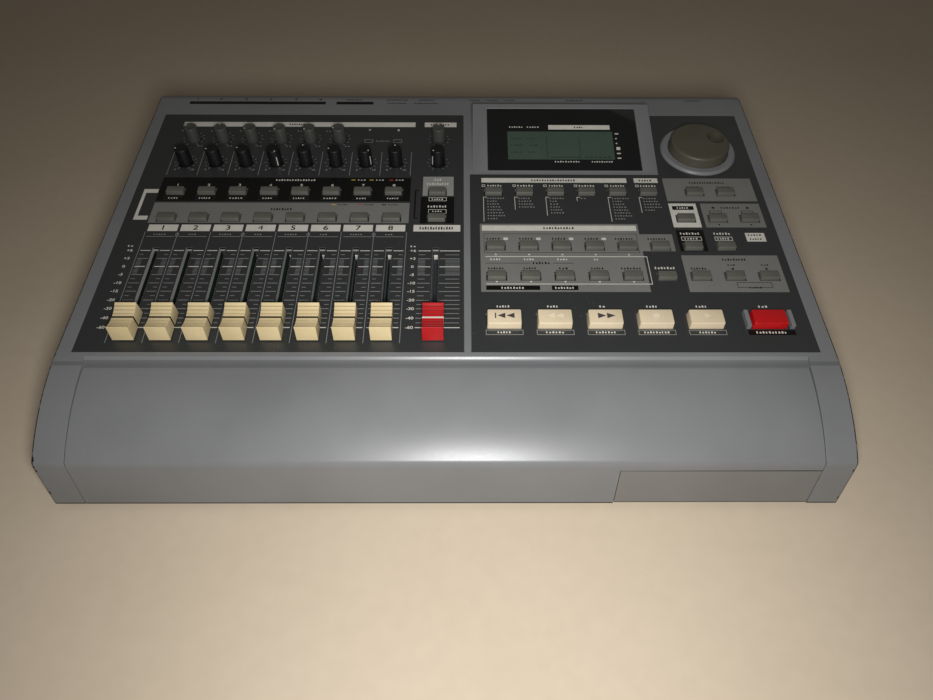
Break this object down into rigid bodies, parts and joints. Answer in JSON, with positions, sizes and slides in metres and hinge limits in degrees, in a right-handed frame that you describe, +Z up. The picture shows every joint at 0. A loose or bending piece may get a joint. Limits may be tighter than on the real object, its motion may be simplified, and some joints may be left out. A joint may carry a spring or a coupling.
{
  "type": "digital multitrack recorder",
  "caption": "Desk-top digital multitrack recorder with a sloping control panel: faders, turning knobs, press buttons, transport keys, a jog dial and a raised display.",
  "frame": {"origin": "on the table under the middle of the outline", "axes": "+X to the right seen from the front, front towards -Y, +Z up"},
  "size_m": [0.435, 0.3202, 0.0989],
  "materials": {
    "case": "satin grey moulded ABS",
    "cover": "satin grey moulded ABS",
    "tray": "painted sheet steel",
    "panel": "matte printed polyester sheet",
    "window": "glossy smoked acrylic",
    "lcd": "grey-green liquid crystal",
    "rear": "matte painted sheet steel",
    "black": "satin",
    "gold": "plated",
    "steel": "zinc plated",
    "board": "solder mask on glass-fibre laminate",
    "rubber": "matte",
    "button": "satin",
    "cream": "satin",
    "red": "satin",
    "pan": "satin",
    "trim": "satin",
    "dial": "satin"
  },
  "bodies": {
    "recorder": {"top_case": "case", "bottom_tray": "tray", "palm_rest": "case", "drive_cover": "cover", "control_panels": "panel", "display_window": "window", "display_module": "lcd", "rear_plate": "rear", "phone_jacks": "black", "phono_sockets": "gold", "din_sockets": "black", "bus_socket": "steel", "power_inlet": "black", "main_board": "board", "panel_board": "board", "fader_tracks": "steel", "knob_pots": "black", "dial_encoder": "black", "hard_drive": "steel", "power_supply": "steel", "feet": "rubber", "case_screws": "steel"},
    "select_buttons": {"select_buttons": "button"},
    "status_buttons": {"status_buttons": "button"},
    "edit_buttons": {"edit_buttons": "button"},
    "locate_buttons": {"locate_buttons": "button"},
    "function_buttons": {"function_buttons": "button"},
    "zero_key": {"zero_key": "cream"},
    "rewind_key": {"rewind_key": "cream"},
    "forward_key": {"forward_key": "cream"},
    "stop_key": {"stop_key": "cream"},
    "play_key": {"play_key": "cream"},
    "record_key": {"record_key": "red"},
    "fader_1": {"fader_1": "cream"},
    "fader_2": {"fader_2": "cream"},
    "fader_3": {"fader_3": "cream"},
    "fader_4": {"fader_4": "cream"},
    "fader_5": {"fader_5": "cream"},
    "fader_6": {"fader_6": "cream"},
    "fader_7": {"fader_7": "cream"},
    "fader_8": {"fader_8": "cream"},
    "master_fader": {"master_fader": "red"},
    "pan_knob_1": {"pan_knob_1": "pan"},
    "pan_knob_2": {"pan_knob_2": "pan"},
    "pan_knob_3": {"pan_knob_3": "pan"},
    "pan_knob_4": {"pan_knob_4": "pan"},
    "pan_knob_5": {"pan_knob_5": "pan"},
    "pan_knob_6": {"pan_knob_6": "pan"},
    "pan_knob_7": {"pan_knob_7": "pan"},
    "pan_knob_8": {"pan_knob_8": "pan"},
    "monitor_knob": {"monitor_knob": "pan"},
    "trim_knob_1": {"trim_knob_1": "trim"},
    "trim_knob_2": {"trim_knob_2": "trim"},
    "trim_knob_3": {"trim_knob_3": "trim"},
    "trim_knob_4": {"trim_knob_4": "trim"},
    "trim_knob_5": {"trim_knob_5": "trim"},
    "trim_knob_6": {"trim_knob_6": "trim"},
    "aux_knob": {"aux_knob": "trim"},
    "jog_dial": {"jog_dial": "dial"},
    "power_switch": {"power_switch": "black"}
  },
  "joints": [
    {"name": "select_buttons_press", "type": "slide", "parent": "recorder", "child": "select_buttons", "axis": [0, 0.1236, -0.9923], "range_m": [0, 0.001], "stiffness_N_per_m": 600},
    {"name": "status_buttons_press", "type": "slide", "parent": "recorder", "child": "status_buttons", "axis": [0, 0.1236, -0.9923], "range_m": [0, 0.001], "stiffness_N_per_m": 600},
    {"name": "edit_buttons_press", "type": "slide", "parent": "recorder", "child": "edit_buttons", "axis": [0, 0.1236, -0.9923], "range_m": [0, 0.001], "stiffness_N_per_m": 600},
    {"name": "locate_buttons_press", "type": "slide", "parent": "recorder", "child": "locate_buttons", "axis": [0, 0.1236, -0.9923], "range_m": [0, 0.001], "stiffness_N_per_m": 600},
    {"name": "function_buttons_press", "type": "slide", "parent": "recorder", "child": "function_buttons", "axis": [0, 0.1236, -0.9923], "range_m": [0, 0.001], "stiffness_N_per_m": 600},
    {"name": "zero_key_press", "type": "slide", "parent": "recorder", "child": "zero_key", "axis": [0, 0.1236, -0.9923], "range_m": [0, 0.001], "stiffness_N_per_m": 500},
    {"name": "rewind_key_press", "type": "slide", "parent": "recorder", "child": "rewind_key", "axis": [0, 0.1236, -0.9923], "range_m": [0, 0.001], "stiffness_N_per_m": 500},
    {"name": "forward_key_press", "type": "slide", "parent": "recorder", "child": "forward_key", "axis": [0, 0.1236, -0.9923], "range_m": [0, 0.001], "stiffness_N_per_m": 500},
    {"name": "stop_key_press", "type": "slide", "parent": "recorder", "child": "stop_key", "axis": [0, 0.1236, -0.9923], "range_m": [0, 0.001], "stiffness_N_per_m": 500},
    {"name": "play_key_press", "type": "slide", "parent": "recorder", "child": "play_key", "axis": [0, 0.1236, -0.9923], "range_m": [0, 0.001], "stiffness_N_per_m": 500},
    {"name": "record_key_press", "type": "slide", "parent": "recorder", "child": "record_key", "axis": [0, 0.1236, -0.9923], "range_m": [0, 0.001], "stiffness_N_per_m": 500},
    {"name": "fader_1_slide", "type": "slide", "parent": "recorder", "child": "fader_1", "axis": [0, 0.9923, 0.1236], "range_m": [0, 0.06]},
    {"name": "fader_2_slide", "type": "slide", "parent": "recorder", "child": "fader_2", "axis": [0, 0.9923, 0.1236], "range_m": [0, 0.06]},
    {"name": "fader_3_slide", "type": "slide", "parent": "recorder", "child": "fader_3", "axis": [0, 0.9923, 0.1236], "range_m": [0, 0.06]},
    {"name": "fader_4_slide", "type": "slide", "parent": "recorder", "child": "fader_4", "axis": [0, 0.9923, 0.1236], "range_m": [0, 0.06]},
    {"name": "fader_5_slide", "type": "slide", "parent": "recorder", "child": "fader_5", "axis": [0, 0.9923, 0.1236], "range_m": [0, 0.06]},
    {"name": "fader_6_slide", "type": "slide", "parent": "recorder", "child": "fader_6", "axis": [0, 0.9923, 0.1236], "range_m": [0, 0.06]},
    {"name": "fader_7_slide", "type": "slide", "parent": "recorder", "child": "fader_7", "axis": [0, 0.9923, 0.1236], "range_m": [0, 0.06]},
    {"name": "fader_8_slide", "type": "slide", "parent": "recorder", "child": "fader_8", "axis": [0, 0.9923, 0.1236], "range_m": [0, 0.06]},
    {"name": "master_fader_slide", "type": "slide", "parent": "recorder", "child": "master_fader", "axis": [0, 0.9923, 0.1236], "range_m": [0, 0.06]},
    {"name": "pan_knob_1_turn", "type": "hinge", "parent": "recorder", "child": "pan_knob_1", "pos_m": [-0.1817, 0.06113, 0.08153], "axis": [0, -0.1236, 0.9923], "range_deg": [-240, 60]},
    {"name": "pan_knob_2_turn", "type": "hinge", "parent": "recorder", "child": "pan_knob_2", "pos_m": [-0.16108, 0.06113, 0.08153], "axis": [0, -0.1236, 0.9923], "range_deg": [-250, 50]},
    {"name": "pan_knob_3_turn", "type": "hinge", "parent": "recorder", "child": "pan_knob_3", "pos_m": [-0.14046, 0.06113, 0.08153], "axis": [0, -0.1236, 0.9923], "range_deg": [-230, 70]},
    {"name": "pan_knob_4_turn", "type": "hinge", "parent": "recorder", "child": "pan_knob_4", "pos_m": [-0.11984, 0.06113, 0.08153], "axis": [0, -0.1236, 0.9923], "range_deg": [0, 300]},
    {"name": "pan_knob_5_turn", "type": "hinge", "parent": "recorder", "child": "pan_knob_5", "pos_m": [-0.09922, 0.06113, 0.08153], "axis": [0, -0.1236, 0.9923], "range_deg": [-160, 140]},
    {"name": "pan_knob_6_turn", "type": "hinge", "parent": "recorder", "child": "pan_knob_6", "pos_m": [-0.0786, 0.06113, 0.08153], "axis": [0, -0.1236, 0.9923], "range_deg": [-240, 60]},
    {"name": "pan_knob_7_turn", "type": "hinge", "parent": "recorder", "child": "pan_knob_7", "pos_m": [-0.05798, 0.06113, 0.08153], "axis": [0, -0.1236, 0.9923], "range_deg": [-24, 276]},
    {"name": "pan_knob_8_turn", "type": "hinge", "parent": "recorder", "child": "pan_knob_8", "pos_m": [-0.03736, 0.06113, 0.08153], "axis": [0, -0.1236, 0.9923], "range_deg": [-150, 150]},
    {"name": "monitor_knob_turn", "type": "hinge", "parent": "recorder", "child": "monitor_knob", "pos_m": [-0.0083, 0.06113, 0.08153], "axis": [0, -0.1236, 0.9923], "range_deg": [-274, 26]},
    {"name": "trim_knob_1_turn", "type": "hinge", "parent": "recorder", "child": "trim_knob_1", "pos_m": [-0.1817, 0.08664, 0.0847], "axis": [0, -0.1236, 0.9923], "range_deg": [-210, 90]},
    {"name": "trim_knob_2_turn", "type": "hinge", "parent": "recorder", "child": "trim_knob_2", "pos_m": [-0.16108, 0.08664, 0.0847], "axis": [0, -0.1236, 0.9923], "range_deg": [-160, 140]},
    {"name": "trim_knob_3_turn", "type": "hinge", "parent": "recorder", "child": "trim_knob_3", "pos_m": [-0.14046, 0.08664, 0.0847], "axis": [0, -0.1236, 0.9923], "range_deg": [-265, 35]},
    {"name": "trim_knob_4_turn", "type": "hinge", "parent": "recorder", "child": "trim_knob_4", "pos_m": [-0.11984, 0.08664, 0.0847], "axis": [0, -0.1236, 0.9923], "range_deg": [-280, 20]},
    {"name": "trim_knob_5_turn", "type": "hinge", "parent": "recorder", "child": "trim_knob_5", "pos_m": [-0.09922, 0.08664, 0.0847], "axis": [0, -0.1236, 0.9923], "range_deg": [-280, 20]},
    {"name": "trim_knob_6_turn", "type": "hinge", "parent": "recorder", "child": "trim_knob_6", "pos_m": [-0.0786, 0.08664, 0.0847], "axis": [0, -0.1236, 0.9923], "range_deg": [-250, 50]},
    {"name": "aux_knob_turn", "type": "hinge", "parent": "recorder", "child": "aux_knob", "pos_m": [-0.0083, 0.08664, 0.0847], "axis": [0, -0.1236, 0.9923], "range_deg": [-150, 150]},
    {"name": "jog_dial_turn", "type": "hinge", "parent": "recorder", "child": "jog_dial", "pos_m": [0.17334, 0.07443, 0.08318], "axis": [0, -0.1236, 0.9923], "continuous": true},
    {"name": "power_switch_rock", "type": "hinge", "parent": "recorder", "child": "power_switch", "pos_m": [0.1825, 0.14774, 0.042], "axis": [1, 0, 0], "range_deg": [-16, 0]}
  ]
}
